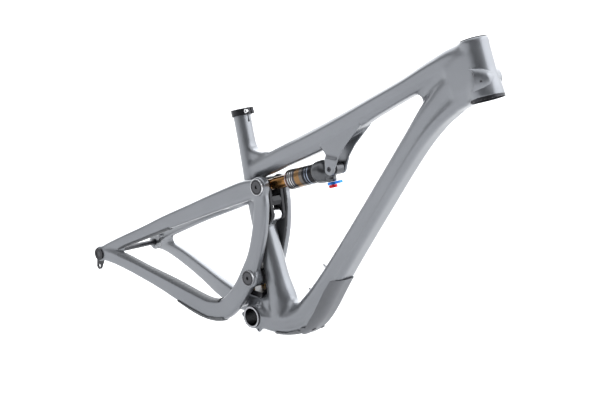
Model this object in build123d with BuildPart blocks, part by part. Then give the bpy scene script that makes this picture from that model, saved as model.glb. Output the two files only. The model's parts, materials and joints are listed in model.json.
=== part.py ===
"""Full-suspension mountain-bike frame with its shock, in millimetres.

Origin at the centre of the bottom bracket shell, +X forwards, +Y to the rider's left, +Z up.
The right side (negative Y) is the drive side. Points in the side view are (x, z) pairs.
"""

import os
from math import cos, hypot, radians, sin

from build123d import *

# ---------------------------------------------------------------- driving dimensions
BB = (0.0, 0.0)
BB_WIDTH, BB_OUTER_R, BB_BORE_R = 73.0, 21.9, 17.0
HEAD_BOTTOM = (495.6, 499.5)
HEAD_LENGTH = 103.0
HEAD_LEAN = 112.0  # angle of the steering axis above +X
HEAD_RADII = ((0, 30), (16, 29.6), (48, 26), (86, 25.4), (HEAD_LENGTH, 26))
UPPER_SEAT_R, LOWER_SEAT_R = 22.0, 28.0
UPPER_SEAT_LENGTH, LOWER_SEAT_LENGTH = 12.0, 11.0
SEAT_TOP = (-84.0, 402.0)
SEAT_LEAN = 108.1  # angle of the seat tube axis above +X
SEAT_OUTER_R, SEAT_BORE_R, SEAT_BORE_DEPTH = 17.6, 15.8, 205.0
COLLAR_R, COLLAR_DEPTH, COLLAR_LIP = 20.2, 12.0, 1.2
REAR_AXLE = (-435.3, 39.0)
HUB_HALF, DROPOUT_OUT = 74.0, 81.6
AXLE_R = 6.0
WALL = 3.0  # carbon wall

# Pivots
FRAME_PIVOT = (18.5, 209.5)
UPPER_PIVOT = (7.4, 267.1)
LOWER_PIVOT = (-2.0, 82.5)
SHOCK_FRONT = (173.5, 329.0)
PIVOT_R = 6.0
BEARING_R = 11.0
RUNNING = 0.05  # radial clearance of a running fit

# Stack of parts across each pivot, as distances from the middle plane
BOSS_HALF = 11.0
ARM_IN, ARM_OUT = 11.6, 20.0
KNUCKLE_IN, KNUCKLE_OUT = 21.0, 38.0
CARRIER_HALF = 22.0
LOWER_IN, LOWER_OUT, LOWER_CAP_R = 23.0, 44.0, 15.4
EAR_IN, EAR_OUT = 13.5, 20.0

# Rails behind the lower seat tube
RAIL_LEAN = 84.0
RAIL_R, RAIL_Y, RAIL_BEHIND = 4.5, 14.5, 14.0
RAIL_PLAY = 0.4
BUSHING_R, BUSHING_LENGTH = 6.4, 9.0
POCKET_FRONT, POCKET_BOTTOM, POCKET_TOP = 13.5, 40.0, 124.0
CLAMP_HEIGHT, CLAMP_REAR, CLAMP_HALF = 11.0, -27.0, 21.0
CARRIER_HEIGHT, CARRIER_FRONT, CARRIER_REAR = 36.0, 11.0, -23.0

# Shock, as distances from the upper pivot along the shock's own axis
EYE_HALF, REAR_EYE_R, FRONT_EYE_R = 11.0, 11.0, 12.0
SHAFT_R, SHAFT_START, SHAFT_END = 12.2, 14.5, 84.0
SLEEVE_R, SLEEVE_BORE_R = 18.9, 17.7
MOUTH, COLLAR_END, BELL_START, BELL_END = 57.0, 80.0, 131.0, 160.0
BELL_R = 22.0
SEAL_RINGS, SEAL_RING_WIDTH, SEAL_RING_R = (1.5, 8.0, 14.0, 19.0), 2.5, 19.6
VALVE_AT_DISTANCE, VALVE_R = 148.0, 3.0
KNOB_AT, KNOB_DROP, LEVER_DROP = 161.0, 28.4, 23.0

# Small features
BOSS_R, BOSS_BORE_R, BOSS_HOLE_REACH = 12.5, 10.0, 12.0
LINK_TOP_R, LINK_LOW_R = 11.5, 13.0
EAR_R, SHOCK_BOLT_R, SHOCK_NUT_R, SPACER_R = 12.0, 5.0, 8.0, 8.5
KNUCKLE_R, LOWER_BOSS_R, DROPOUT_R, DROPOUT_IN = 19.5, 20.0, 17.0, 70.0
EYE_BORE_R, UPPER_CAP_R, CAP_THREAD_R = 8.0, 16.0, 3.0
CLAMP_SLOT_HALF, CLAMP_SLOT_DEPTH, CLAMP_SLOT_END_R = 1.25, 24.0, 2.6
BOTTLE_BOSSES = ((157.5, 138.7), (124.0, 82.5))
BOTTLE_INSERT_R, BOTTLE_HEAD_R, BOTTLE_HEAD_HEIGHT = 4.5, 3.6, 2.6
ISCG_R, ISCG_ANGLES, ISCG_LOW, ISCG_HIGH = 28.0, (66.0, 186.0, 306.0), -31.0, -25.0
ISCG_TAB_R, ISCG_HOLE_R = 6.0, 2.6
CABLE_PORT, CABLE_PORT_R, POD_LEAN, POD_Y = (488.0, 532.0), 6.0, 8.0, 20.0
POD_STATIONS = ((-22, 13, 20), (-8, 15, 20), (8, 12, 17), (22, 5, 9))  # step, half sizes
POD_MOUTH, POD_MOUTH_STEP, POD_MOUTH_DEPTH = (8.5, 14.0), -24.0, 14.0
PORT_SCREW_R, PORT_SCREW_LOW, PORT_SCREW_HIGH = 1.6, 19.0, 29.8
PROTECTOR_BOLT, PROTECTOR_BOLT_Y = (125.0, 33.0), 12.0
PROTECTOR_SEAT, PROTECTOR_THICK, PROTECTOR_HEAD_R = 31.0, 4.0, 4.4
SKID_THICK, STAY_GUARD_THICK = 2.2, 2.0
HANGER_HOLE, HANGER_BORE_R, HANGER_FACE = (-441.0, 10.0), 4.55, -78.0
HANGER_TOP_R, HANGER_EYE_R, HANGER_NECK_R, HANGER_RING_R = 13.0, 8.0, 8.5, 10.0
BRAKE_POSTS = ((-402.0, 61.0), (-337.0, 97.0))
BRAKE_Y, BRAKE_POST_R, BRAKE_POST_END, BRAKE_INSERT_R, BRAKE_INSERT_START = 67.0, 6.8, 34.0, 4.5, 16.0
M5_R, M6_R, SMALL_HEAD_R, COLLAR_HEAD_R = 2.5, 3.0, 4.0, 4.2
PISTON_LENGTH, PISTON_BORE_R = 4.0, 5.0
BEYOND = 5.0  # how far a cutting tool runs past what it cuts

# ---------------------------------------------------------------- tube stations
# Front triangle: (x, z, lean in degrees, width across, depth in side view).
DOWN_TUBE = [
    (20, 0, 2, 68, 44),
    (52, 1, 10, 66, 44),
    (88, 11, 24, 62, 50),
    (125, 33, 46, 56, 58),
    (159.5, 79.5, 59.3, 50, 55),
    (206.5, 158.3, 59.3, 47, 47),
    (281, 284, 59.3, 46, 44),
    (352, 403, 58.5, 46, 45),
    (388, 457, 54, 46, 54),
    (424, 500, 42, 46, 68),
    (476.3, 547.2, 22, 46, 96),
]
TOP_TUBE = [
    (-44, 282, 29.5, 33, 34),
    (0, 306, 29.5, 36, 40),
    (36, 326, 29.5, 39, 42),
    (131, 376, 29.5, 42, 43),
    (201, 417, 30, 42, 41),
    (260, 455, 31, 42, 36),
    (333.7, 500, 31.5, 43, 34),
    (385, 531, 31, 44, 40),
    (428, 552, 26, 46, 52),
    (472, 566, 22, 46, 60),
]
SEAT_TUBE = [
    (-84, 402, 108.1, 35.2, 35.2),
    (-66.5, 348, 108.1, 35.4, 35.4),
    (-51, 300, 108.1, 36, 38),
    (-34.7, 250, 108.1, 38, 42),
    (-18, 205, 111, 40, 46),
    (-3, 168, 113, 42, 48),
    (16, 126, 114, 44, 48),
    (34, 84, 113, 44, 50),
    (50, 46, 112, 52, 60),
    (60, 14, 110, 62, 60),
]
# Right half of the swingarm: (x, distance from the middle, z, lean, thickness across, depth).
STRUT_AND_CHAINSTAY = [
    (8, 29.5, 262, -90, 17, 32),
    (13, 30, 234, -91, 17, 34),
    (13.5, 32, 186, -92, 19, 34),
    (9, 33, 150, -98, 20, 33),
    (2, 33.5, 120, -105, 20, 34),
    (-8, 34, 92, -110, 20, 38),
    (-21, 37, 60, -115, 20, 39),
    (-40, 40.5, 28, -128, 19, 40),
    (-70, 42, 0, -152, 18, 42),
    (-112, 43.5, -9, -178, 18, 42),
    (-170, 48, -0.5, 172, 18, 41),
    (-250, 58, 18, 168, 16, 34),
    (-322, 67, 32, 169, 14, 31),
    (-385, 74, 40, 175, 12, 28),
    (-428, 77.5, 39.5, 179, 8, 26),
]
SEATSTAY = [
    (6, 29.5, 266, 205, 17, 34),
    (-30, 30.5, 252, 206, 17, 41),
    (-71, 34, 233, 206, 17, 40),
    (-127, 38.5, 205.5, 207, 16, 37.5),
    (-184, 42, 177, 207, 15, 34.5),
    (-250, 49, 144, 207, 14, 31),
    (-310, 57, 111.5, 208, 13, 27),
    (-365, 66, 82.5, 208, 12, 24.5),
    (-402, 72, 61, 209, 11, 25),
    (-430, 77.5, 43, 210, 8, 26),
]
CORNER = 0.36  # corner radius as a share of the smaller side
EAR_OUTLINE = [(146, 368), (161, 352), (161.6, 331), (185.4, 331), (192, 352), (204, 374)]
EAR_OUTLINE += [(224, 400), (240, 420), (236, 436), (190, 412)]
POCKET_FLOOR = [(-28, 33), (-28, POCKET_BOTTOM), (60, POCKET_BOTTOM), (60, -10), (0, -10), (-16, 18)]
POCKET_ROOF = [(-20, POCKET_TOP), (-22, 170), (10, 170), (30, POCKET_TOP)]
BOSS_WEB = [(-20, 228), (8, 220), (24, 198), (10, 182), (-12, 180)]
YOKE = [(-37, 10), (-34, 30), (-36, 46), (-46, 52), (-58, 40), (-58, 14), (-48, 4)]
BRIDGE = [(-86, 202), (-91, 216), (-103, 219), (-105, 208), (-98, 201)]
LINK_BRIDGE = [(12, 247), (21, 247), (26, 239), (25, 230), (16, 232)]

# Guards: the side regions that bound them
CHAINSTAY_TOP_REGION = [(-80, 14), (-112, 7), (-170, 15.5), (-250, 30), (-322, 43), (-372, 48.5)]
CHAINSTAY_TOP_REGION += [(-372, 80), (-80, 60)]
CHAINSTAY_LOW_REGION = [(-66, -15), (-84, -20), (-112, -25.5), (-140, -21.5), (-170, -16.5), (-196, -10.5)]
CHAINSTAY_LOW_REGION += [(-196, -60), (-66, -60)]
SEATSTAY_LOW_REGION = [(-236, 137), (-250, 129.5), (-310, 98.5), (-365, 70.5), (-378, 63.5), (-378, 30)]
SEATSTAY_LOW_REGION += [(-236, 30)]
PROTECTOR_REGION = [(247, 132), (196, 122), (182, 98), (160, 50), (139, 14), (128, 12), (124, -30)]
PROTECTOR_REGION += [(300, -30), (300, 132)]
SKID_REGION = [(62, -15), (92, -9), (118, 4), (123, 4), (123, -40), (62, -40)]


# ---------------------------------------------------------------- directions and helpers
def heading(degrees):
    return (cos(radians(degrees)), sin(radians(degrees)))


def along(start, direction, distance):
    """Point at a distance along a direction, both in the side view."""
    return (start[0] + direction[0] * distance, start[1] + direction[1] * distance)


HEAD_DIR, SEAT_DIR, RAIL_DIR = heading(HEAD_LEAN), heading(SEAT_LEAN), heading(RAIL_LEAN)
SEAT_FRONT = (SEAT_DIR[1], -SEAT_DIR[0])
BOTTLE_OUT, PROTECTOR_OUT, STAY_UP = heading(149.3), heading(-44), heading(118)
SHOCK_LENGTH = hypot(SHOCK_FRONT[0] - UPPER_PIVOT[0], SHOCK_FRONT[1] - UPPER_PIVOT[1])
SHOCK_DIR = (
    (SHOCK_FRONT[0] - UPPER_PIVOT[0]) / SHOCK_LENGTH,
    (SHOCK_FRONT[1] - UPPER_PIVOT[1]) / SHOCK_LENGTH,
)
SHOCK_DOWN = (SHOCK_DIR[1], -SHOCK_DIR[0])
ISCG_TABS = [along(BB, heading(angle), ISCG_R) for angle in ISCG_ANGLES]
RAIL_AT = along(LOWER_PIVOT, (RAIL_DIR[1], -RAIL_DIR[0]), -RAIL_BEHIND)
VALVE_AT = along(UPPER_PIVOT, SHOCK_DIR, VALVE_AT_DISTANCE)
KNOB_AXIS = along(UPPER_PIVOT, SHOCK_DIR, KNOB_AT)
COLLAR_BOLT = along(along(SEAT_TOP, SEAT_DIR, -5.5), SEAT_FRONT, 24.0)
POD_DIR = heading(POD_LEAN)
PORT_SCREW = (CABLE_PORT[0] + 10, CABLE_PORT[1])


def across(point, y=0.0):
    """Plane facing +Y, its local X along +X and its local Y along -Z."""
    return Plane((point[0], y, point[1]), x_dir=(1, 0, 0), z_dir=(0, 1, 0))


def facing(point, direction, y=0.0):
    """Plane facing a direction of the side view, its local X along +Y."""
    return Plane((point[0], y, point[1]), x_dir=(0, 1, 0), z_dir=(direction[0], 0, direction[1]))


def pin(point, radius, low, high, bore=0.0):
    """Round bar or ring across the frame, from y = low to y = high."""
    with BuildPart() as bar:
        with BuildSketch(across(point, low)):
            Circle(radius)
            if bore:
                Circle(bore, mode=Mode.SUBTRACT)
        extrude(amount=high - low)
    return bar.part


def rod(start, direction, low, high, radius, y=0.0, bore=0.0):
    """Round bar or ring along a direction of the side view, between two distances from start."""
    with BuildPart() as bar:
        with BuildSketch(facing(along(start, direction, low), direction, y)):
            Circle(radius)
            if bore:
                Circle(bore, mode=Mode.SUBTRACT)
        extrude(amount=high - low)
    return bar.part


def slab(points, low, high):
    """Slab with a side outline of straight edges, from y = low to y = high."""
    with BuildPart() as plate:
        with BuildSketch(across(BB, low)):
            with BuildLine():
                Polyline([(x, -z) for x, z in points], close=True)
            make_face()
        extrude(amount=high - low)
    return plate.part


def strap(point_a, radius_a, point_b, radius_b, low, high):
    """Slab whose side outline wraps two circles."""
    with BuildPart() as plate:
        with BuildSketch(across(BB, low)):
            with Locations((point_a[0], -point_a[1])):
                Circle(radius_a)
            with Locations((point_b[0], -point_b[1])):
                Circle(radius_b)
            make_hull()
        extrude(amount=high - low)
    return plate.part


def tube(stations, grow=0.0):
    """Loft through stations of the front triangle, each side larger by grow."""
    with BuildPart() as body:
        for x, z, lean, width, depth in stations:
            wide, tall = width + 2 * grow, depth + 2 * grow
            with BuildSketch(facing((x, z), heading(lean))):
                RectangleRounded(wide, tall, CORNER * min(wide, tall))
        loft()
    return body.part


def stay(stations, grow=0.0):
    """Loft through stations of the swingarm's right half, tilted to follow the stay's own run."""
    with BuildPart() as body:
        last = len(stations) - 1
        for i, (x, y, z, lean, thick, depth) in enumerate(stations):
            before, after = stations[max(i - 1, 0)], stations[min(i + 1, last)]
            slope = (before[1] - after[1]) / hypot(after[0] - before[0], after[2] - before[2])
            direction = (heading(lean)[0], slope, heading(lean)[1])
            wide, tall = thick + 2 * grow, depth + 2 * grow
            with BuildSketch(Plane((x, -y, z), x_dir=(0, 1, 0), z_dir=direction)):
                RectangleRounded(wide, tall, CORNER * min(wide, tall))
        loft()
    return body.part


def save(part, name):
    """Label a finished piece and write it to its own file."""
    part.label = name
    export_step(part, "parts/" + name + ".step")
    return part


# ---------------------------------------------------------------- front triangle
def head_tube():
    with BuildPart() as body:
        for distance, radius in HEAD_RADII:
            with BuildSketch(facing(along(HEAD_BOTTOM, HEAD_DIR, distance), HEAD_DIR)):
                Circle(radius)
        loft()
    return body.part


def upper_clamp_bolt(side, head):
    """Bolt of the upper rail clamp, run forwards into the seat tube."""
    start = (CLAMP_REAR, POCKET_TOP - CLAMP_HEIGHT / 2)
    bar = rod(start, (1, 0), 3, 54, M5_R, y=side * 4.7)
    return bar + rod(start, (1, 0), -3, 3, SMALL_HEAD_R, y=side * 4.7) if head else bar


def lower_clamp_bolt(side, head):
    """Bolt of the lower rail clamp, run down into the floor of the pocket."""
    start = (4.0, POCKET_BOTTOM + CLAMP_HEIGHT)
    bar = rod(start, (0, -1), 3, 22, M5_R, y=side * 5.0)
    return bar + rod(start, (0, -1), -2.5, 3, SMALL_HEAD_R, y=side * 5.0) if head else bar


def port_screw(side):
    """Screw that holds one cable pod, run into the cheek of the head tube."""
    low, high = sorted((side * PORT_SCREW_LOW, side * PORT_SCREW_HIGH))
    return pin(PORT_SCREW, PORT_SCREW_R, low, high)


def make_front_triangle():
    with BuildPart() as front:
        for stations in (DOWN_TUBE, TOP_TUBE, SEAT_TUBE):
            add(tube(stations))
        add(head_tube())
        add(rod(SEAT_TOP, SEAT_DIR, -60, 0, SEAT_OUTER_R))
        # bottom bracket block, the floor and the roof of the rail pocket
        add(pin(BB, BB_OUTER_R + 3.1, -34, 34))
        add(slab(POCKET_FLOOR, -24, 24))
        add(slab(POCKET_ROOF, -20, 20))
        # link boss on its web
        add(slab(BOSS_WEB, -9, 9))
        add(pin(FRAME_PIVOT, BOSS_R, -BOSS_HALF, BOSS_HALF))
        # shock bracket ears and chain guide tabs
        for low, high in ((-EAR_OUT, -EAR_IN), (EAR_IN, EAR_OUT)):
            add(slab(EAR_OUTLINE, low, high))
            add(pin(SHOCK_FRONT, EAR_R, low, high))
        for tab in ISCG_TABS:
            add(pin(tab, ISCG_TAB_R, ISCG_LOW, ISCG_HIGH))
        # cavities
        add(tube(DOWN_TUBE[2:10], -WALL), mode=Mode.SUBTRACT)
        add(tube(TOP_TUBE[1:9], -WALL), mode=Mode.SUBTRACT)
        add(tube(SEAT_TUBE[4:7], -WALL - 2), mode=Mode.SUBTRACT)
        pocket = [(-60, POCKET_BOTTOM), (-60, POCKET_TOP), (POCKET_FRONT, POCKET_TOP)]
        add(slab(pocket + [(POCKET_FRONT, POCKET_BOTTOM)], -40, 40), mode=Mode.SUBTRACT)
        # round seat for the collar
        round_seat = rod(SEAT_TOP, SEAT_DIR, -COLLAR_DEPTH - 0.3, 3, 30, bore=SEAT_OUTER_R)
        add(round_seat, mode=Mode.SUBTRACT)
        # bores
        add(rod(SEAT_TOP, SEAT_DIR, -SEAT_BORE_DEPTH, BEYOND, SEAT_BORE_R), mode=Mode.SUBTRACT)
        add(rod(HEAD_BOTTOM, HEAD_DIR, -1, LOWER_SEAT_LENGTH, LOWER_SEAT_R + 1), mode=Mode.SUBTRACT)
        add(rod(HEAD_BOTTOM, HEAD_DIR, 1, HEAD_LENGTH - 1, UPPER_SEAT_R - 1), mode=Mode.SUBTRACT)
        upper_start = HEAD_LENGTH - UPPER_SEAT_LENGTH
        upper_bore = rod(HEAD_BOTTOM, HEAD_DIR, upper_start, HEAD_LENGTH + 1, UPPER_SEAT_R + 1)
        add(upper_bore, mode=Mode.SUBTRACT)
        add(pin(BB, BB_OUTER_R, -40, 40), mode=Mode.SUBTRACT)
        add(pin(FRAME_PIVOT, BOSS_BORE_R, -BOSS_HOLE_REACH, BOSS_HOLE_REACH), mode=Mode.SUBTRACT)
        add(pin(SHOCK_FRONT, SHOCK_BOLT_R, -EAR_OUT - BEYOND, EAR_OUT + BEYOND), mode=Mode.SUBTRACT)
        # seat clamp slot at the front, ending in a round hole
        slot_top, slot_end = along(SEAT_TOP, SEAT_DIR, 2), along(SEAT_TOP, SEAT_DIR, -CLAMP_SLOT_DEPTH)
        slot = [slot_top, slot_end, along(slot_end, SEAT_FRONT, 26), along(slot_top, SEAT_FRONT, 26)]
        add(slab(slot, -CLAMP_SLOT_HALF, CLAMP_SLOT_HALF), mode=Mode.SUBTRACT)
        add(rod(slot_end, SEAT_FRONT, 0, 26, CLAMP_SLOT_END_R), mode=Mode.SUBTRACT)
        # bolt holes
        for boss in BOTTLE_BOSSES:
            add(rod(boss, BOTTLE_OUT, -14, 6, BOTTLE_INSERT_R), mode=Mode.SUBTRACT)
        for side in (-1, 1):
            bolt_y = side * PROTECTOR_BOLT_Y
            add(rod(PROTECTOR_BOLT, PROTECTOR_OUT, 20, 45, M5_R, y=bolt_y), mode=Mode.SUBTRACT)
            add(upper_clamp_bolt(side, head=False), mode=Mode.SUBTRACT)
            add(lower_clamp_bolt(side, head=False), mode=Mode.SUBTRACT)
            low, high = sorted((side * 18, side * 32))
            port = (CABLE_PORT[0] - 4, CABLE_PORT[1])
            add(pin(port, CABLE_PORT_R, low, high), mode=Mode.SUBTRACT)
            add(port_screw(side), mode=Mode.SUBTRACT)
        for tab in ISCG_TABS:
            add(pin(tab, ISCG_HOLE_R, ISCG_LOW - 1, ISCG_HIGH + 1), mode=Mode.SUBTRACT)
    return front.part


# ---------------------------------------------------------------- swingarm
def hanger_blade():
    """Flat blade of the hanger, between the dropout plate and the hub face."""
    return strap(REAR_AXLE, HANGER_TOP_R, HANGER_HOLE, HANGER_EYE_R, HANGER_FACE, -HUB_HALF)


def make_swingarm():
    with BuildPart() as arm:
        add(stay(STRUT_AND_CHAINSTAY))
        add(stay(SEATSTAY))
        add(pin(UPPER_PIVOT, KNUCKLE_R, -KNUCKLE_OUT, -KNUCKLE_IN))
        add(pin(LOWER_PIVOT, LOWER_BOSS_R, -LOWER_OUT, -LOWER_IN))
        add(pin(REAR_AXLE, DROPOUT_R, -DROPOUT_OUT, -DROPOUT_IN))
        mirror(about=Plane.XZ)
        # bridges behind the bottom bracket and behind the seat tube
        add(slab(YOKE, -40, 40))
        add(slab(BRIDGE, -36, 36))
        # brake posts on the left seatstay
        for post in BRAKE_POSTS:
            add(rod(post, STAY_UP, 0, BRAKE_POST_END, BRAKE_POST_R, y=BRAKE_Y))
        # hub gap, axle hole and hanger seat
        rear, front = REAR_AXLE[0] - 30, REAR_AXLE[0] + 28
        hub_gap = [(rear, 60), (front, 60), (front, 5), (rear, 5)]
        add(slab(hub_gap, -HUB_HALF, HUB_HALF), mode=Mode.SUBTRACT)
        add(pin(REAR_AXLE, AXLE_R + 0.1, 60, 90), mode=Mode.SUBTRACT)
        add(pin(REAR_AXLE, HANGER_RING_R, -90, -60), mode=Mode.SUBTRACT)
        add(hanger_blade(), mode=Mode.SUBTRACT)
        for post in BRAKE_POSTS:
            end = BRAKE_POST_END + 1
            bore = rod(post, STAY_UP, BRAKE_INSERT_START, end, BRAKE_INSERT_R, y=BRAKE_Y)
            add(bore, mode=Mode.SUBTRACT)
        # bearing seats
        for side in (-1, 1):
            low, high = sorted((side * 20, side * 46))
            add(pin(UPPER_PIVOT, BEARING_R, low, high), mode=Mode.SUBTRACT)
            add(pin(LOWER_PIVOT, BEARING_R, low, high), mode=Mode.SUBTRACT)
            low, high = sorted((side * LOWER_OUT, side * (LOWER_OUT + 8)))
            add(pin(LOWER_PIVOT, LOWER_CAP_R + 0.6, low, high), mode=Mode.SUBTRACT)
    return arm.part


# ---------------------------------------------------------------- fixed small parts
def make_bb_sleeve():
    with BuildPart() as sleeve:
        with BuildSketch(across(BB, -BB_WIDTH / 2)):
            Circle(BB_OUTER_R)
            Circle(BB_BORE_R, mode=Mode.SUBTRACT)
        extrude(amount=BB_WIDTH)
        mouths = sleeve.edges().filter_by(GeomType.CIRCLE).sort_by(SortBy.RADIUS)[:2]
        chamfer(mouths, length=1.2)
    return sleeve.part


def make_seat_collar():
    with BuildPart() as collar:
        add(rod(SEAT_TOP, SEAT_DIR, -COLLAR_DEPTH, COLLAR_LIP, COLLAR_R))
        low, high = along(SEAT_TOP, SEAT_DIR, -COLLAR_DEPTH), along(SEAT_TOP, SEAT_DIR, COLLAR_LIP)
        lug = [along(low, SEAT_FRONT, 12), along(high, SEAT_FRONT, 12)]
        lug += [along(high, SEAT_FRONT, 28), along(low, SEAT_FRONT, 28)]
        add(slab(lug, -7.5, 7.5))
        add(rod(SEAT_TOP, SEAT_DIR, -20, 0, SEAT_OUTER_R), mode=Mode.SUBTRACT)
        add(rod(SEAT_TOP, SEAT_DIR, -1, 5, SEAT_BORE_R + 0.4), mode=Mode.SUBTRACT)
        # the split, and the cross hole of the bolt
        split = [along(low, SEAT_DIR, -5), along(high, SEAT_DIR, 5)]
        split += [along(split[1], SEAT_FRONT, 30), along(split[0], SEAT_FRONT, 30)]
        add(slab(split, -1.5, 1.5), mode=Mode.SUBTRACT)
        add(pin(COLLAR_BOLT, M5_R, -10, 10), mode=Mode.SUBTRACT)
    return collar.part


def socket_bolt(point, shank_r, head_r, tip, seat, top, socket):
    """Bolt across the frame: shank from tip to seat, head from seat to top, hexagon socket in it."""
    with BuildPart() as bolt:
        add(pin(point, shank_r, min(tip, seat), max(tip, seat)))
        add(pin(point, head_r, min(seat, top), max(seat, top)))
        depth = 0.7 * (seat - top)
        with BuildSketch(across(point, top)):
            RegularPolygon(socket, 6)
        extrude(amount=depth, mode=Mode.SUBTRACT)
    return bolt.part


def make_port_cover(side, front):
    """Pod over the cable port on one cheek of the head tube, with its mouth facing rearwards."""
    with BuildPart() as pod:
        for step, half_width, half_height in POD_STATIONS:
            centre = along(CABLE_PORT, POD_DIR, step)
            with BuildSketch(facing(centre, POD_DIR, side * POD_Y)):
                Ellipse(half_width, half_height)
        loft()
        for filled in (front, head_tube(), tube(DOWN_TUBE), tube(TOP_TUBE)):
            add(filled, mode=Mode.SUBTRACT)
        mouth_centre = along(CABLE_PORT, POD_DIR, POD_MOUTH_STEP)
        with BuildSketch(facing(mouth_centre, POD_DIR, side * (POD_Y + 3))):
            Ellipse(*POD_MOUTH)
        extrude(amount=POD_MOUTH_DEPTH, mode=Mode.SUBTRACT)
        low, high = sorted((side * POD_Y, side * 50))
        add(pin(PORT_SCREW, PORT_SCREW_R, low, high), mode=Mode.SUBTRACT)
    return max(pod.part.solids(), key=lambda solid: solid.volume)


def make_rail_clamp(lower):
    """Block that holds both rails, at the floor or at the roof of the pocket."""
    bottom = POCKET_BOTTOM if lower else POCKET_TOP - CLAMP_HEIGHT
    top = bottom + CLAMP_HEIGHT
    with BuildPart() as clamp:
        outline = [(CLAMP_REAR, bottom), (CLAMP_REAR, top), (POCKET_FRONT, top), (POCKET_FRONT, bottom)]
        add(slab(outline, -CLAMP_HALF, CLAMP_HALF))
        fillet(clamp.edges().filter_by(Axis.Z).group_by(Axis.X)[0], 4.0)
        for side in (-1, 1):
            add(rod(RAIL_AT, RAIL_DIR, -60, 60, RAIL_R, y=side * RAIL_Y), mode=Mode.SUBTRACT)
            bolt = lower_clamp_bolt(side, head=True) if lower else upper_clamp_bolt(side, head=True)
            add(bolt, mode=Mode.SUBTRACT)
    return clamp.part


def make_rails():
    with BuildPart() as rails:
        for side in (-1, 1):
            add(rod(RAIL_AT, RAIL_DIR, -60, 60, RAIL_R, y=side * RAIL_Y))
        keep = [(-60, POCKET_BOTTOM + 0.5), (-60, POCKET_TOP - 0.5), (60, POCKET_TOP - 0.5)]
        add(slab(keep + [(60, POCKET_BOTTOM + 0.5)], -40, 40), mode=Mode.INTERSECT)
    return rails.part


def make_carrier():
    """Block that slides on the rails and holds the lower pivot bolts."""
    up, ahead = RAIL_DIR, (RAIL_DIR[1], -RAIL_DIR[0])
    corners = []
    for height, depth in ((-0.5, CARRIER_REAR), (-0.5, CARRIER_FRONT), (0.5, CARRIER_FRONT)):
        corners.append(along(along(LOWER_PIVOT, up, height * CARRIER_HEIGHT), ahead, depth))
    corners.append(along(along(LOWER_PIVOT, up, 0.5 * CARRIER_HEIGHT), ahead, CARRIER_REAR))
    with BuildPart() as carrier:
        add(slab(corners, -CARRIER_HALF, CARRIER_HALF))
        fillet(carrier.edges().filter_by(Axis.Y), 4.0)
        for side in (-1, 1):
            rail_y = side * RAIL_Y
            add(rod(RAIL_AT, RAIL_DIR, -30, 30, BUSHING_R, y=rail_y), mode=Mode.SUBTRACT)
        add(pin(LOWER_PIVOT, PIVOT_R, -30, 30), mode=Mode.SUBTRACT)
    return carrier.part


def make_carrier_bushings():
    with BuildPart() as bushings:
        for side in (-1, 1):
            for end in (-1, 1):
                low, high = sorted((end * 17.0, end * (17.0 - BUSHING_LENGTH)))
                bore = RAIL_R + RAIL_PLAY
                add(rod(RAIL_AT, RAIL_DIR, low, high, BUSHING_R, y=side * RAIL_Y, bore=bore))
    return bushings.part


def make_link():
    """H-shaped link: two arms joined by a bridge in front."""
    with BuildPart() as link:
        for low, high in ((-ARM_OUT, -ARM_IN), (ARM_IN, ARM_OUT)):
            add(strap(UPPER_PIVOT, LINK_TOP_R, FRAME_PIVOT, LINK_LOW_R, low, high))
        add(slab(LINK_BRIDGE, -ARM_OUT, ARM_OUT))
        add(pin(UPPER_PIVOT, PIVOT_R, -30, 30), mode=Mode.SUBTRACT)
        add(pin(FRAME_PIVOT, PIVOT_R, -30, 30), mode=Mode.SUBTRACT)
    return link.part


# ---------------------------------------------------------------- shock
def make_shock_shaft():
    with BuildPart() as shaft:
        add(rod(UPPER_PIVOT, SHOCK_DIR, SHAFT_START, SHAFT_END, SHAFT_R))
        add(rod(UPPER_PIVOT, SHOCK_DIR, 0, SHAFT_START, EYE_HALF))
        add(pin(UPPER_PIVOT, REAR_EYE_R, -EYE_HALF, EYE_HALF))
        add(pin(UPPER_PIVOT, EYE_BORE_R, -20, 20), mode=Mode.SUBTRACT)
        # the bolt that holds the piston
        add(rod(UPPER_PIVOT, SHOCK_DIR, SHAFT_END, SHAFT_END + PISTON_LENGTH, PISTON_BORE_R))
    return shaft.part


def make_shock_head():
    """Bell end of the air can with the front eye and the control block under it."""
    with BuildPart() as head:
        bell = ((BELL_START, 20.6), (BELL_START + 8, BELL_R), (BELL_END - 8, BELL_R), (BELL_END, 15.0))
        for distance, radius in bell:
            with BuildSketch(facing(along(UPPER_PIVOT, SHOCK_DIR, distance), SHOCK_DIR)):
                Circle(radius)
        loft(ruled=True)
        add(rod(UPPER_PIVOT, SHOCK_DIR, BELL_END - 4, SHOCK_LENGTH, 9.5))
        add(pin(SHOCK_FRONT, FRONT_EYE_R, -10, 10))
        add(rod(KNOB_AXIS, SHOCK_DOWN, 0, LEVER_DROP - 0.5, 9.0))
        add(rod(UPPER_PIVOT, SHOCK_DIR, BELL_START - 1, BELL_START + 7, SLEEVE_R), mode=Mode.SUBTRACT)
        add(pin(SHOCK_FRONT, EYE_BORE_R, -20, 20), mode=Mode.SUBTRACT)
        add(pin(VALVE_AT, VALVE_R, 16, 24))
    return head.part


def make_valve_cap():
    with BuildPart() as cap:
        add(pin(VALVE_AT, 4.5, BELL_R + 0.3, 33))
        add(pin(VALVE_AT, VALVE_R, 10, 24), mode=Mode.SUBTRACT)
    return cap.part


def make_lever():
    """Compression lever: a flat ring with a finger, turning under the control block."""
    centre = along(KNOB_AXIS, SHOCK_DOWN, LEVER_DROP)
    with BuildPart() as lever:
        add(rod(centre, SHOCK_DOWN, 0, 5.0, 10.0))
        with BuildSketch(facing(centre, SHOCK_DOWN)):
            with Locations((0, 11)):
                Rectangle(8, 22)
        extrude(amount=5.0)
        add(rod(centre, SHOCK_DOWN, -1, 7, 3.05), mode=Mode.SUBTRACT)
    return lever.part


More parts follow.
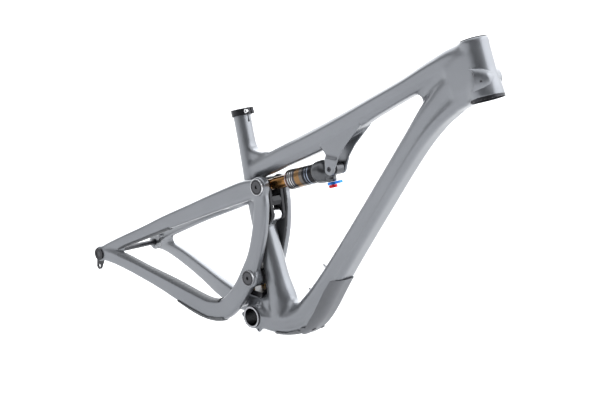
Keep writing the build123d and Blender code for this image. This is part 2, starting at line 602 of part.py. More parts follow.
def make_knob():
    """Rebound knob with a fluted rim, below the lever, on a stem through it."""
    centre = along(KNOB_AXIS, SHOCK_DOWN, KNOB_DROP)
    with BuildPart() as knob:
        with BuildSketch(facing(centre, SHOCK_DOWN)):
            Circle(8.0)
            with PolarLocations(8.4, 10):
                Circle(1.4, mode=Mode.SUBTRACT)
        extrude(amount=5.5)
        add(rod(centre, SHOCK_DOWN, -5.2, 1, 3.0))
    return knob.part


# ---------------------------------------------------------------- guards
def skin(grown, region, low, high, *bodies):
    """Bonded guard: a thin skin over part of a tube, kept inside a side region and off the bodies."""
    with BuildPart() as guard:
        add(grown)
        add(slab(region, low, high), mode=Mode.INTERSECT)
        for body in bodies:
            add(body, mode=Mode.SUBTRACT)
    pieces = sorted(guard.part.solids(), key=lambda solid: solid.volume)
    return pieces[-1]


# ---------------------------------------------------------------- build
os.makedirs("parts", exist_ok=True)
front_triangle = save(make_front_triangle(), "front_triangle")
swingarm = save(make_swingarm(), "swingarm")

# front triangle hardware
save(make_bb_sleeve(), "bb_sleeve")
lower_seat = rod(HEAD_BOTTOM, HEAD_DIR, 0, LOWER_SEAT_LENGTH, LOWER_SEAT_R + 1, bore=LOWER_SEAT_R)
save(lower_seat, "headset_seat_lower")
seat_start = HEAD_LENGTH - UPPER_SEAT_LENGTH
upper_seat = rod(HEAD_BOTTOM, HEAD_DIR, seat_start, HEAD_LENGTH, UPPER_SEAT_R + 1, bore=UPPER_SEAT_R)
save(upper_seat, "headset_seat_upper")
save(make_seat_collar(), "seat_collar")
save(socket_bolt(COLLAR_BOLT, M5_R, COLLAR_HEAD_R, 7.5, -7.5, -11.0, 2.3), "seat_collar_bolt")
save(pin(COLLAR_BOLT, COLLAR_HEAD_R, 7.5, 10.5, bore=M5_R - 0.5), "seat_collar_nut")
save(make_port_cover(-1, front_triangle), "cable_port_cover_right")
save(make_port_cover(1, front_triangle), "cable_port_cover_left")
with BuildPart() as port_screws:
    for side in (-1, 1):
        add(port_screw(side))
save(port_screws.part, "cable_port_screws")
with BuildPart() as bottle_inserts:
    for boss in BOTTLE_BOSSES:
        add(rod(boss, BOTTLE_OUT, -9, 0.3, BOTTLE_INSERT_R, bore=M5_R))
save(bottle_inserts.part, "bottle_inserts")
with BuildPart() as bottle_bolts:
    for boss in BOTTLE_BOSSES:
        add(rod(boss, BOTTLE_OUT, -8, 0.3, M5_R))
        add(rod(boss, BOTTLE_OUT, 0.3, 0.3 + BOTTLE_HEAD_HEIGHT, BOTTLE_HEAD_R))
save(bottle_bolts.part, "bottle_bolts")
protector = skin(tube(DOWN_TUBE[2:7], PROTECTOR_THICK), PROTECTOR_REGION, -40, 40, front_triangle)
with BuildPart() as downtube_protector:
    add(protector)
    for side in (-1, 1):
        bolt_y = side * PROTECTOR_BOLT_Y
        add(rod(PROTECTOR_BOLT, PROTECTOR_OUT, 20, 50, M5_R, y=bolt_y), mode=Mode.SUBTRACT)
        head_seat = rod(PROTECTOR_BOLT, PROTECTOR_OUT, PROTECTOR_SEAT, 50, PROTECTOR_HEAD_R, y=bolt_y)
        add(head_seat, mode=Mode.SUBTRACT)
save(downtube_protector.part, "downtube_protector")
with BuildPart() as protector_bolts:
    for side in (-1, 1):
        bolt_y = side * PROTECTOR_BOLT_Y
        add(rod(PROTECTOR_BOLT, PROTECTOR_OUT, 23, PROTECTOR_SEAT, M5_R, y=bolt_y))
        head_end = PROTECTOR_SEAT + 3
        add(rod(PROTECTOR_BOLT, PROTECTOR_OUT, PROTECTOR_SEAT, head_end, PROTECTOR_HEAD_R, y=bolt_y))
save(protector_bolts.part, "protector_bolts")
skid = skin(tube(DOWN_TUBE[0:4], SKID_THICK), SKID_REGION, -40, 40, front_triangle, downtube_protector.part)
save(skid, "bb_skid_guard")
save(socket_bolt(SHOCK_FRONT, SHOCK_BOLT_R, SHOCK_BOLT_R, 22.0, -17.0, -19.5, 2.3), "shock_bolt")
save(pin(SHOCK_FRONT, SHOCK_NUT_R, EAR_OUT, EAR_OUT + 3, bore=SHOCK_BOLT_R), "shock_nut")
with BuildPart() as shock_spacers:
    for low, high in ((-EAR_IN, -10.3), (10.3, EAR_IN)):
        add(pin(SHOCK_FRONT, SPACER_R, low, high, bore=SHOCK_BOLT_R))
save(shock_spacers.part, "shock_spacers")
with BuildPart() as boss_bearings:
    for low, high in ((-10.8, -3.0), (3.0, 10.8)):
        add(pin(FRAME_PIVOT, BOSS_BORE_R, low, high, bore=PIVOT_R + RUNNING))
save(boss_bearings.part, "link_boss_bearings")

# rails
save(make_rails(), "guide_rails")
save(make_rail_clamp(lower=True), "rail_clamp_lower")
save(make_rail_clamp(lower=False), "rail_clamp_upper")
with BuildPart() as rail_clamp_bolts:
    for side in (-1, 1):
        add(upper_clamp_bolt(side, head=True))
        add(lower_clamp_bolt(side, head=True))
save(rail_clamp_bolts.part, "rail_clamp_bolts")

# carrier
save(make_carrier(), "switch_carrier")
save(make_carrier_bushings(), "carrier_bushings")
with BuildPart() as lower_pivot_bolts:
    for side in (-1, 1):
        seat, top = side * (LOWER_OUT + 0.4), side * (LOWER_OUT + 4)
        add(socket_bolt(LOWER_PIVOT, PIVOT_R, LOWER_CAP_R, side * 4, seat, top, 4.0))
save(lower_pivot_bolts.part, "lower_pivot_bolts")

# swingarm hardware
with BuildPart() as upper_bearings:
    for side in (-1, 1):
        low, high = sorted((side * (KNUCKLE_IN + 1), side * (KNUCKLE_OUT - 1)))
        add(pin(UPPER_PIVOT, BEARING_R, low, high, bore=PIVOT_R + RUNNING))
save(upper_bearings.part, "upper_pivot_bearings")
with BuildPart() as lower_bearings:
    for side in (-1, 1):
        low, high = sorted((side * (LOWER_IN + 1), side * (LOWER_OUT - 1)))
        add(pin(LOWER_PIVOT, BEARING_R, low, high, bore=PIVOT_R + RUNNING))
save(lower_bearings.part, "lower_pivot_bearings")
chainstay = STRUT_AND_CHAINSTAY[7:14]
save(skin(stay(chainstay, SKID_THICK), CHAINSTAY_TOP_REGION, -120, -20, swingarm), "chainstay_guard_upper")
save(skin(stay(chainstay, SKID_THICK), CHAINSTAY_LOW_REGION, -120, -20, swingarm), "chainstay_guard_lower")
save(skin(stay(SEATSTAY[4:9], STAY_GUARD_THICK), SEATSTAY_LOW_REGION, -120, -20, swingarm), "seatstay_guard")
with BuildPart() as hanger:
    add(hanger_blade())
    add(pin(REAR_AXLE, HANGER_NECK_R, -84.0, HANGER_FACE))
    add(pin(REAR_AXLE, AXLE_R, -90, -70), mode=Mode.SUBTRACT)
    add(pin(HANGER_HOLE, HANGER_BORE_R, -90, -70), mode=Mode.SUBTRACT)
save(hanger.part, "derailleur_hanger")
with BuildPart() as hanger_bolt:
    add(pin(REAR_AXLE, HANGER_RING_R, -DROPOUT_OUT, HANGER_FACE, bore=HANGER_NECK_R))
    add(pin(REAR_AXLE, 13.75, -84.5, -DROPOUT_OUT, bore=HANGER_NECK_R))
save(hanger_bolt.part, "hanger_bolt")
with BuildPart() as brake_inserts:
    for post in BRAKE_POSTS:
        insert = (BRAKE_INSERT_START, BRAKE_POST_END, BRAKE_INSERT_R)
        add(rod(post, STAY_UP, *insert, y=BRAKE_Y, bore=M6_R))
save(brake_inserts.part, "brake_mount_inserts")
save(socket_bolt(REAR_AXLE, AXLE_R - RUNNING, 9.0, -83.5, DROPOUT_OUT + 0.3, 86.5, 3.4), "rear_axle")

# link
save(make_link(), "link")
with BuildPart() as upper_axle:
    add(pin(UPPER_PIVOT, PIVOT_R, -37.5, 37.5))
    add(pin(UPPER_PIVOT, CAP_THREAD_R, -40, 40), mode=Mode.SUBTRACT)
save(upper_axle.part, "upper_pivot_axle")
with BuildPart() as upper_caps:
    for side in (-1, 1):
        seat, top = side * (KNUCKLE_OUT + 0.4), side * 41.5
        add(socket_bolt(UPPER_PIVOT, CAP_THREAD_R, UPPER_CAP_R, side * 30, seat, top, 4.0))
save(upper_caps.part, "upper_pivot_caps")
save(socket_bolt(FRAME_PIVOT, PIVOT_R, 8.5, 20.0, -20.0, -20.8, 3.0), "frame_pivot_axle")

# shock
save(make_shock_shaft(), "shock_shaft")
rear_bushing = pin(UPPER_PIVOT, EYE_BORE_R, -EYE_HALF, EYE_HALF, bore=PIVOT_R + RUNNING)
save(rear_bushing, "shock_rear_bushing")
piston_end = SHAFT_END + PISTON_LENGTH
save(rod(UPPER_PIVOT, SHOCK_DIR, SHAFT_END, piston_end, SHAFT_R, bore=PISTON_BORE_R), "shock_piston")
save(make_shock_head(), "shock_head")
sleeve = rod(UPPER_PIVOT, SHOCK_DIR, COLLAR_END, BELL_START + 7, SLEEVE_R, bore=SLEEVE_BORE_R)
save(sleeve, "air_sleeve")
with BuildPart() as seal_head:
    add(rod(UPPER_PIVOT, SHOCK_DIR, MOUTH, COLLAR_END, SLEEVE_R, bore=SLEEVE_BORE_R))
    for step in SEAL_RINGS:
        low, high = MOUTH + step, MOUTH + step + SEAL_RING_WIDTH
        add(rod(UPPER_PIVOT, SHOCK_DIR, low, high, SEAL_RING_R, bore=SLEEVE_R - 0.5))
save(seal_head.part, "seal_head")
save(rod(UPPER_PIVOT, SHOCK_DIR, MOUTH + 0.5, MOUTH + 4, SLEEVE_BORE_R, bore=SHAFT_R + 0.1), "wiper")
front_bushing = pin(SHOCK_FRONT, EYE_BORE_R, -10, 10, bore=SHOCK_BOLT_R + RUNNING)
save(front_bushing, "shock_front_bushing")
save(make_valve_cap(), "air_valve_cap")
save(make_lever(), "compression_lever")
save(make_knob(), "rebound_knob")
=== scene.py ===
"""Looks of the full-suspension frame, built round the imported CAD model. Lengths below are in mm."""

import json
from math import asin, cos, hypot, pi, radians, sin

import bmesh
import bpy
from mathutils import Matrix, Vector


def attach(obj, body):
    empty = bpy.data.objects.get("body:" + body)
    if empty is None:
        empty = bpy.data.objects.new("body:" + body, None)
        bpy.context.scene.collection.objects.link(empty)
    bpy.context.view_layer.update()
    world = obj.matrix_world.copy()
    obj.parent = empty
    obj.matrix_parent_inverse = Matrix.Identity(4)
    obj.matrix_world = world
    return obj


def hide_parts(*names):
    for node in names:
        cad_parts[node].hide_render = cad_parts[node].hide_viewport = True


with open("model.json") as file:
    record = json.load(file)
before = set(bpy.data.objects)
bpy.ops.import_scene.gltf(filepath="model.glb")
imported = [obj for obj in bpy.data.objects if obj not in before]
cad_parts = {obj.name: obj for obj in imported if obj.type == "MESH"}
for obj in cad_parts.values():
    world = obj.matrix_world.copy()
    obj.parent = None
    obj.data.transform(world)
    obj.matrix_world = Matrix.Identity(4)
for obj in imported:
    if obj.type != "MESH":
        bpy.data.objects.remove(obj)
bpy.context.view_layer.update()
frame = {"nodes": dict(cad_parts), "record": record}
MM = 0.001

# ---------------------------------------------------------------- places shared with the CAD
HEAD_BOTTOM, HEAD_LENGTH, HEAD_LEAN = (495.6, 499.5), 103.0, 112.0
HEAD_RADII = ((0, 30), (16, 29.6), (48, 26), (86, 25.4), (HEAD_LENGTH, 26))
SEAT_TOP, SEAT_LEAN = (-84.0, 402.0), 108.1
BB, REAR_AXLE = (0.0, 0.0), (-435.3, 39.0)
FRAME_PIVOT, UPPER_PIVOT, LOWER_PIVOT = (18.5, 209.5), (7.4, 267.1), (-2.0, 82.5)
SHOCK_FRONT = (173.5, 329.0)
CABLE_PORT = (488.0, 532.0)
BRAKE_POSTS, BRAKE_Y = ((-402.0, 61.0), (-337.0, 97.0)), 67.0
ISCG_R, ISCG_ANGLES = 28.0, (66.0, 186.0, 306.0)

# (x, z, lean in degrees, width across, depth in side view)
DOWN_TUBE = [
    (20, 0, 2, 68, 44),
    (52, 1, 10, 66, 44),
    (88, 11, 24, 62, 50),
    (125, 33, 46, 56, 58),
    (159.5, 79.5, 59.3, 50, 55),
    (206.5, 158.3, 59.3, 47, 47),
    (281, 284, 59.3, 46, 44),
    (352, 403, 58.5, 46, 45),
    (388, 457, 54, 46, 54),
    (424, 500, 42, 46, 68),
    (476.3, 547.2, 22, 46, 96),
]
TOP_TUBE = [
    (-44, 282, 29.5, 33, 34),
    (0, 306, 29.5, 36, 40),
    (36, 326, 29.5, 39, 42),
    (131, 376, 29.5, 42, 43),
    (201, 417, 30, 42, 41),
    (260, 455, 31, 42, 36),
    (333.7, 500, 31.5, 43, 34),
    (385, 531, 31, 44, 40),
    (428, 552, 26, 46, 52),
    (472, 566, 22, 46, 60),
]
SEAT_TUBE = [
    (-84, 402, 108.1, 35.2, 35.2),
    (-66.5, 348, 108.1, 35.4, 35.4),
    (-51, 300, 108.1, 36, 38),
    (-34.7, 250, 108.1, 38, 42),
    (-18, 205, 111, 40, 46),
    (-3, 168, 113, 42, 48),
    (16, 126, 114, 44, 48),
    (34, 84, 113, 44, 50),
    (50, 46, 112, 52, 60),
    (60, 14, 110, 62, 60),
]
# (x, distance from the middle, z, lean, thickness across, depth)
STRUT_AND_CHAINSTAY = [
    (8, 29.5, 262, -90, 17, 32),
    (13, 30, 234, -91, 17, 34),
    (13.5, 32, 186, -92, 19, 34),
    (9, 33, 150, -98, 20, 33),
    (2, 33.5, 120, -105, 20, 34),
    (-8, 34, 92, -110, 20, 38),
    (-21, 37, 60, -115, 20, 39),
    (-40, 40.5, 28, -128, 19, 40),
    (-70, 42, 0, -152, 18, 42),
    (-112, 43.5, -9, -178, 18, 42),
    (-170, 48, -0.5, -188, 18, 41),
    (-250, 58, 18, -192, 16, 34),
    (-322, 67, 32, -191, 14, 31),
    (-385, 74, 40, -185, 12, 28),
    (-428, 77.5, 39.5, -181, 8, 26),
]
SEATSTAY = [
    (6, 29.5, 266, 205, 17, 34),
    (-30, 30.5, 252, 206, 17, 41),
    (-71, 34, 233, 206, 17, 40),
    (-127, 38.5, 205.5, 207, 16, 37.5),
    (-184, 42, 177, 207, 15, 34.5),
    (-250, 49, 144, 207, 14, 31),
    (-310, 57, 111.5, 208, 13, 27),
    (-365, 66, 82.5, 208, 12, 24.5),
    (-402, 72, 61, 209, 11, 25),
    (-430, 77.5, 43, 210, 8, 26),
]
# Side outlines of the mast's filler and the shock ears, and stations of the filler at the head tube
MAST_FILLER = [(-58, 320), (-63, 352), (-50, 340), (-36, 329), (-14, 329), (2, 334), (-20, 305)]
HEAD_FILLER = [(428, 520, 30, 44, 84), (452, 536, 24, 48, 92), (474, 549, 22, 51, 92)]
HEAD_FILLER += [(486, 553, 22, 48, 88)]
EAR_LOW = [(160, 350), (161.6, 331), (185.4, 331), (190, 350)]
EAR_OUTLINE = [(146, 368), (161, 352), (161.6, 331), (185.4, 331), (192, 352), (204, 374)]
EAR_OUTLINE += [(224, 400), (240, 420), (236, 436), (190, 412)]


# ---------------------------------------------------------------- geometry helpers
def heading(degrees):
    return (cos(radians(degrees)), sin(radians(degrees)))


def along(start, direction, distance):
    return (start[0] + direction[0] * distance, start[1] + direction[1] * distance)


HEAD_DIR, SEAT_DIR, STAY_UP = heading(HEAD_LEAN), heading(SEAT_LEAN), heading(118)
SEAT_FRONT = (SEAT_DIR[1], -SEAT_DIR[0])
SHOCK_LENGTH = hypot(SHOCK_FRONT[0] - UPPER_PIVOT[0], SHOCK_FRONT[1] - UPPER_PIVOT[1])
SHOCK_DIR = tuple((b - a) / SHOCK_LENGTH for a, b in zip(UPPER_PIVOT, SHOCK_FRONT))
SHOCK_DOWN = (SHOCK_DIR[1], -SHOCK_DIR[0])
# Cable pods: (step forwards, distance of the outer side from the middle plane, half height)
POD_DIR, POD_HALF_WIDTH, POD_COUNT = heading(8), 12.0, 96
POD_OUTSIDE = ((21, 16, 4), (19.5, 19, 9), (16, 23.5, 14), (11, 27.5, 17.5), (5, 30.3, 19.5), (-3, 32, 20.2))
POD_OUTSIDE += ((-12, 32.6, 20.2), (-22, 32.4, 19.8), (-25.5, 32, 19.4), (-27, 31, 18.4), (-27, 30.2, 17.6))
POD_INSIDE = ((-25.6, 29.6, 17.0), (-24.2, 29.4, 16.6))
BELL_PROFILE = ((130.5, 19.2), (132, 20.6), (136, 21.6), (141, 22), (150, 22), (154, 21), (157, 19))
BELL_PROFILE += ((160, 15.5), (162.5, 11.5), (166, 10), (177, 9.5))
# Sections and stations of the tubes: corner radii as shares of the smaller side, spacing in mm
STAY_CORNER, SEAT_CORNER, FILLER_CORNER, STATION_STEP = 0.36, 0.46, 0.42, 6.0
# Smoothing passes, inside rounds and voxel sizes of the moulded bodies, in mm
BLEND_PASSES = 6
FRONT_ROUND, FRONT_VOXEL, DETAIL_ROUND, DETAIL_VOXEL, LAST_VOXEL = 11.0, 2.2, 2.5, 1.4, 1.2
TUCK = 0.35  # how far the blended body sinks under the tubes' own edges
ARM_ROUND, ARM_BLEND_VOXEL, ARM_VOXEL = 9.0, 1.6, 1.3
BELL_ROUND, BELL_VOXEL = 1.8, 0.7
# Front triangle: radii, and distances from the middle plane
SHELL_R, SHELL_BORE_R, SHELL_HALF = 25.0, 21.9, 34.0
SEAT_R, SEAT_BORE_R, SEAT_BORE_DEPTH = 17.6, 15.8, 205.0
HEAD_BORE_R, UPPER_SEAT_R, LOWER_SEAT_R = 21.0, 23.0, 29.0
BOSS_R, BOSS_BORE_R, BOSS_HALF = 12.5, 10.0, 11.0
EAR_IN, EAR_OUT, EAR_ROOT_OUT, EAR_EYE_R, SHOCK_BORE_R = 13.5, 20.0, 17.2, 12.0, 5.0
TAB_R, TAB_HOLE_R = 6.0, 2.6
SLOT_HALF, SLOT_HOLE_R, SLOT_DEPTH = 1.25, 2.6, 24.0
# Swingarm: radii, and distances from the middle plane
KNUCKLE_R, LOWER_BOSS_R, DROPOUT_R, PIVOT_BORE_R = 19.5, 20.0, 17.0, 11.0
KNUCKLE_IN, KNUCKLE_OUT, LOWER_IN, LOWER_OUT = 21.0, 38.0, 23.0, 44.0
UPPER_CAP_R, LOWER_CAP_R, AXLE_HOLE_R, HANGER_BORE_R = 16.5, 16.0, 6.1, 10.0
HUB_HALF, DROPOUT_IN, DROPOUT_OUT = 74.0, 70.0, 81.6
POST_R, POST_BORE_R, POST_LENGTH = 6.8, 4.5, 34.0
# Link, shock and cable pods
LINK_IN, LINK_OUT, LINK_LOW_R, LINK_TOP_R, LINK_CHAMFER = 11.6, 20.0, 13.0, 11.5, 1.1
EYE_R, EYE_BORE_R, SLEEVE_R = 12.0, 8.0, 18.9
POD_SQUARENESS, POD_CUT_BACK, POD_FLAT = 0.7, 0.95, 1.0
# Slabs of the moulded bodies, as side outlines
SHELL_BLOCK = [(-28, 33), (-28, 40), (60, 40), (60, -10), (0, -10), (-16, 18)]
POCKET_ROOF = [(-20, 124), (-22, 170), (10, 170), (30, 124)]
POCKET = [(-70, 40), (-70, 124), (13.5, 124), (13.5, 40)]
BOSS_WEB = [(-20, 228), (8, 220), (24, 198), (10, 182), (-12, 180)]
YOKE = [(-37, 10), (-34, 30), (-36, 46), (-46, 52), (-58, 40), (-58, 14), (-48, 4)]
BRIDGE = [(-86, 202), (-91, 216), (-103, 219), (-105, 208), (-98, 201)]
LINK_BRIDGE = [(12, 247), (21, 247), (26, 239), (25, 230), (16, 232)]
# Faceted sections: one side's corners from the top down, as (share of half width, share of half depth, cut)
DOWN_SHAPE = ((0.5, 1.0, 9), (1.0, 0.45, 8), (0.83, -0.3, 2.0), (0.98, -0.62, 4), (0.76, -1.0, 9))
TOP_SHAPE = ((0.62, 1.0, 3.5), (1.0, 0.6, 4.5), (0.9, -0.3, 2.5), (0.52, -1.0, 5))


def make(name, vertices, faces):
    """New mesh object from vertices in mm."""
    mesh = bpy.data.meshes.new(name)
    mesh.from_pydata([Vector(v) * MM for v in vertices], [], faces)
    made = bmesh.new()
    made.from_mesh(mesh)
    bmesh.ops.recalc_face_normals(made, faces=made.faces)
    made.to_mesh(mesh)
    made.free()
    mesh.shade_smooth()
    item = bpy.data.objects.new(name, mesh)
    bpy.context.scene.collection.objects.link(item)
    return item


def skin_rings(name, rings):
    """Closed tube through rings of points, with a flat fan on each end."""
    count = len(rings[0])
    vertices = [point for ring in rings for point in ring]
    faces = []
    for i in range(len(rings) - 1):
        for k in range(count):
            nxt = (k + 1) % count
            a, b = i * count, (i + 1) * count
            faces.append((a + k, a + nxt, b + nxt, b + k))
    faces.append(tuple(range(count))[::-1])
    last = (len(rings) - 1) * count
    faces.append(tuple(last + k for k in range(count)))
    return make(name, vertices, faces)


def dense(table):
    """Rows of a station table, with smooth rows between them."""
    at = [0.0]
    for a, b in zip(table, table[1:]):
        at.append(at[-1] + hypot(b[0] - a[0], b[1] - a[1], b[2] - a[2] if len(a) == 6 else 0))
    last = len(table) - 1

    def slope(i):
        low, high = max(i - 1, 0), min(i + 1, last)
        return [(b - a) / (at[high] - at[low]) for a, b in zip(table[low], table[high])]

    rows = []
    for i in range(last):
        span = at[i + 1] - at[i]
        pieces = max(2, round(span / STATION_STEP))
        before, after = slope(i), slope(i + 1)
        for j in range(pieces):
            t = j / pieces
            weights = (2 * t**3 - 3 * t**2 + 1, t**3 - 2 * t**2 + t, 3 * t**2 - 2 * t**3, t**3 - t**2)
            row = []
            for k in range(len(table[0])):
                parts = (table[i][k], before[k] * span, table[i + 1][k], after[k] * span)
                row.append(sum(w * p for w, p in zip(weights, parts)))
            rows.append(row)
    rows.append(list(table[-1]))
    return rows


def section(width, depth, corner, steps=8):
    """Rounded rectangle as (across, up) pairs."""
    r = corner * min(width, depth)
    points = []
    for quarter, (sx, sy) in enumerate(((1, 1), (-1, 1), (-1, -1), (1, -1))):
        for i in range(steps):
            a = (quarter + i / (steps - 1)) * pi / 2
            points.append((sx * (width / 2 - r) + r * cos(a), sy * (depth / 2 - r) + r * sin(a)))
    return points


def faceted(width, depth, shape, steps=6):
    """Outline with soft corners: shape holds one side's corners from the top down, as shares of the
    half width and half depth, each with how much of its edges the corner takes, in mm."""
    half = [(a * width / 2, b * depth / 2, cut) for a, b, cut in shape]
    corners = [(-u, v, cut) for u, v, cut in half] + half[::-1]
    points = []
    for i, (u, v, cut) in enumerate(corners):
        corner = Vector((u, v))
        before = Vector(corners[i - 1][:2]) - corner
        after = Vector(corners[(i + 1) % len(corners)][:2]) - corner
        start = corner + before.normalized() * min(cut, before.length / 2)
        end = corner + after.normalized() * min(cut, after.length / 2)
        for k in range(steps):
            t = k / (steps - 1)
            points.append((1 - t) ** 2 * start + 2 * t * (1 - t) * corner + t**2 * end)
    return points


def tube(name, table, shape):
    """Tube of the front triangle, with a faceted or a rounded section."""
    rings = []
    for x, z, lean, width, depth in dense(table):
        dx, dz = heading(lean)
        outline = section(width, depth, shape) if isinstance(shape, float) else faceted(width, depth, shape)
        rings.append([(x - dz * v, u, z + dx * v) for u, v in outline])
    return skin_rings(name, rings)


def stay(name, table):
    """Tube of the swingarm's right half."""
    rows = dense(table)
    last = len(rows) - 1
    rings = []
    for i, (x, y, z, lean, thick, depth) in enumerate(rows):
        a, b = rows[max(i - 1, 0)], rows[min(i + 1, last)]
        side = (a[1] - b[1]) / hypot(b[0] - a[0], b[2] - a[2])
        dx, dz = heading(lean)
        forward = Vector((dx, side, dz)).normalized()
        across = (Vector((0, 1, 0)) - forward * forward.y).normalized()
        up = forward.cross(across)
        centre = Vector((x, -y, z))
        shape = section(thick, depth, STAY_CORNER)
        rings.append([centre + across * u + up * v for u, v in shape])
    return skin_rings(name, rings)


def pin(name, point, radius, low, high, count=64):
    """Round bar across the frame."""
    rings = []
    for y in (low, high):
        ring = [(2 * pi * k / count) for k in range(count)]
        rings.append([(point[0] + radius * cos(a), y, point[1] + radius * sin(a)) for a in ring])
    return skin_rings(name, rings)


def rod(name, start, direction, profile, y=0.0, count=64):
    """Body of revolution along a side-view direction: profile holds (distance, radius) pairs."""
    rings = []
    for distance, radius in profile:
        centre = along(start, direction, distance)
        ring = []
        for k in range(count):
            a = 2 * pi * k / count
            u, v = radius * cos(a), radius * sin(a)
            ring.append((centre[0] - direction[1] * v, y + u, centre[1] + direction[0] * v))
        rings.append(ring)
    return skin_rings(name, rings)


def slab(name, points, low, high):
    """Slab with a side outline of straight edges."""
    rings = [[(x, y, z) for x, z in points] for y in (low, high)]
    return skin_rings(name, rings)


def bake(item, *modifiers):
    """Applies modifiers given as (type, settings) pairs."""
    for kind, settings in modifiers:
        added = item.modifiers.new(kind, kind)
        for key, value in settings.items():
            setattr(added, key, value)
    graph = bpy.context.evaluated_depsgraph_get()
    old = item.data
    item.data = bpy.data.meshes.new_from_object(item.evaluated_get(graph))
    item.modifiers.clear()
    bpy.data.meshes.remove(old)
    item.data.shade_smooth()
    return item


def join(name, *items):
    """One object from several, the first one's name replaced."""
    with bpy.context.temp_override(active_object=items[0], selected_editable_objects=list(items)):
        bpy.ops.object.join()
    items[0].name = name
    return items[0]


def remesh(item, voxel):
    return bake(item, ("REMESH", {"mode": "VOXEL", "voxel_size": voxel * MM, "use_smooth_shade": True}))


def soften(item, iterations):
    return bake(item, ("SMOOTH", {"factor": 0.5, "iterations": iterations}))


def swell(item, amount):
    return bake(item, ("DISPLACE", {"strength": amount * MM, "mid_level": 0.0}))


def blend_corners(item, radius, voxel):
    """Rounds the inside corners of a union: swell it, make it one skin again, and shrink it back."""
    remesh(item, voxel)
    swell(item, radius)
    remesh(item, voxel)
    soften(item, BLEND_PASSES)
    swell(item, -radius)
    remesh(item, voxel)
    return soften(item, BLEND_PASSES)


def cut(item, *tools):
    """Takes the tools away from item."""
    tool = join("tool", *tools) if len(tools) > 1 else tools[0]
    bake(item, ("BOOLEAN", {"object": tool, "operation": "DIFFERENCE", "solver": "MANIFOLD"}))
    bpy.data.objects.remove(tool)
    return item


def repaint(item, slot, test):
    """Gives the faces whose centre and normal pass the test a second finish."""
    index = len(item.data.materials)
    item.data.materials.append(MATERIALS[slot])
    for face in item.data.polygons:
        if test(face.center / MM, face.normal):
            face.material_index = index


def mirrored(item, name):
    """Copy of item on the other side of the middle plane."""
    copy = bpy.data.objects.new(name, item.data.copy())
    bpy.context.scene.collection.objects.link(copy)
    copy.data.transform(Matrix.Diagonal((1, -1, 1, 1)))
    copy.data.flip_normals()
    return copy


# ---------------------------------------------------------------- materials
def banded(tree, place, bands):
    """Colour in bands along an axis or round it: bands holds kind, origin, axis and (mm, colour) stops."""
    kind, origin, axis, stops = bands
    nodes, links = tree.nodes, tree.links
    from_origin = nodes.new("ShaderNodeVectorMath")
    from_origin.operation = "SUBTRACT"
    links.new(place.outputs["Object"], from_origin.inputs[0])
    from_origin.inputs[1].default_value = [c * MM for c in origin]
    measure = nodes.new("ShaderNodeVectorMath")
    measure.operation = "DOT_PRODUCT" if kind == "along" else "CROSS_PRODUCT"
    links.new(from_origin.outputs["Vector"], measure.inputs[0])
    measure.inputs[1].default_value = axis
    if kind == "round":
        length = nodes.new("ShaderNodeVectorMath")
        length.operation = "LENGTH"
        links.new(measure.outputs["Vector"], length.inputs[0])
        measure = length
    low, high = stops[0][0], stops[-1][0] + 1.0
    scaled = nodes.new("ShaderNodeMapRange")
    scaled.inputs["From Min"].default_value, scaled.inputs["From Max"].default_value = low * MM, high * MM
    links.new(measure.outputs["Value"], scaled.inputs["Value"])
    ramp = nodes.new("ShaderNodeValToRGB")
    ramp.color_ramp.interpolation = "CONSTANT"
    elements = ramp.color_ramp.elements
    elements[0].color = (*stops[0][1], 1)
    elements[1].position, elements[1].color = (stops[1][0] - low) / (high - low), (*stops[1][1], 1)
    for distance, colour in stops[2:]:
        elements.new((distance - low) / (high - low)).color = (*colour, 1)
    links.new(scaled.outputs["Result"], ramp.inputs["Fac"])
    return ramp.outputs["Color"]


def ribbed(tree, place, ribs):
    """Height of a row of ribs: ribs holds an axis and a pitch in mm."""
    axis, pitch = ribs
    nodes, links = tree.nodes, tree.links
    along_axis = nodes.new("ShaderNodeVectorMath")
    along_axis.operation = "DOT_PRODUCT"
    links.new(place.outputs["Object"], along_axis.inputs[0])
    along_axis.inputs[1].default_value = [c * 2 * pi / (pitch * MM) for c in axis]
    wave = nodes.new("ShaderNodeMath")
    wave.operation = "SINE"
    links.new(along_axis.outputs["Value"], wave.inputs[0])
    return wave.outputs["Value"]


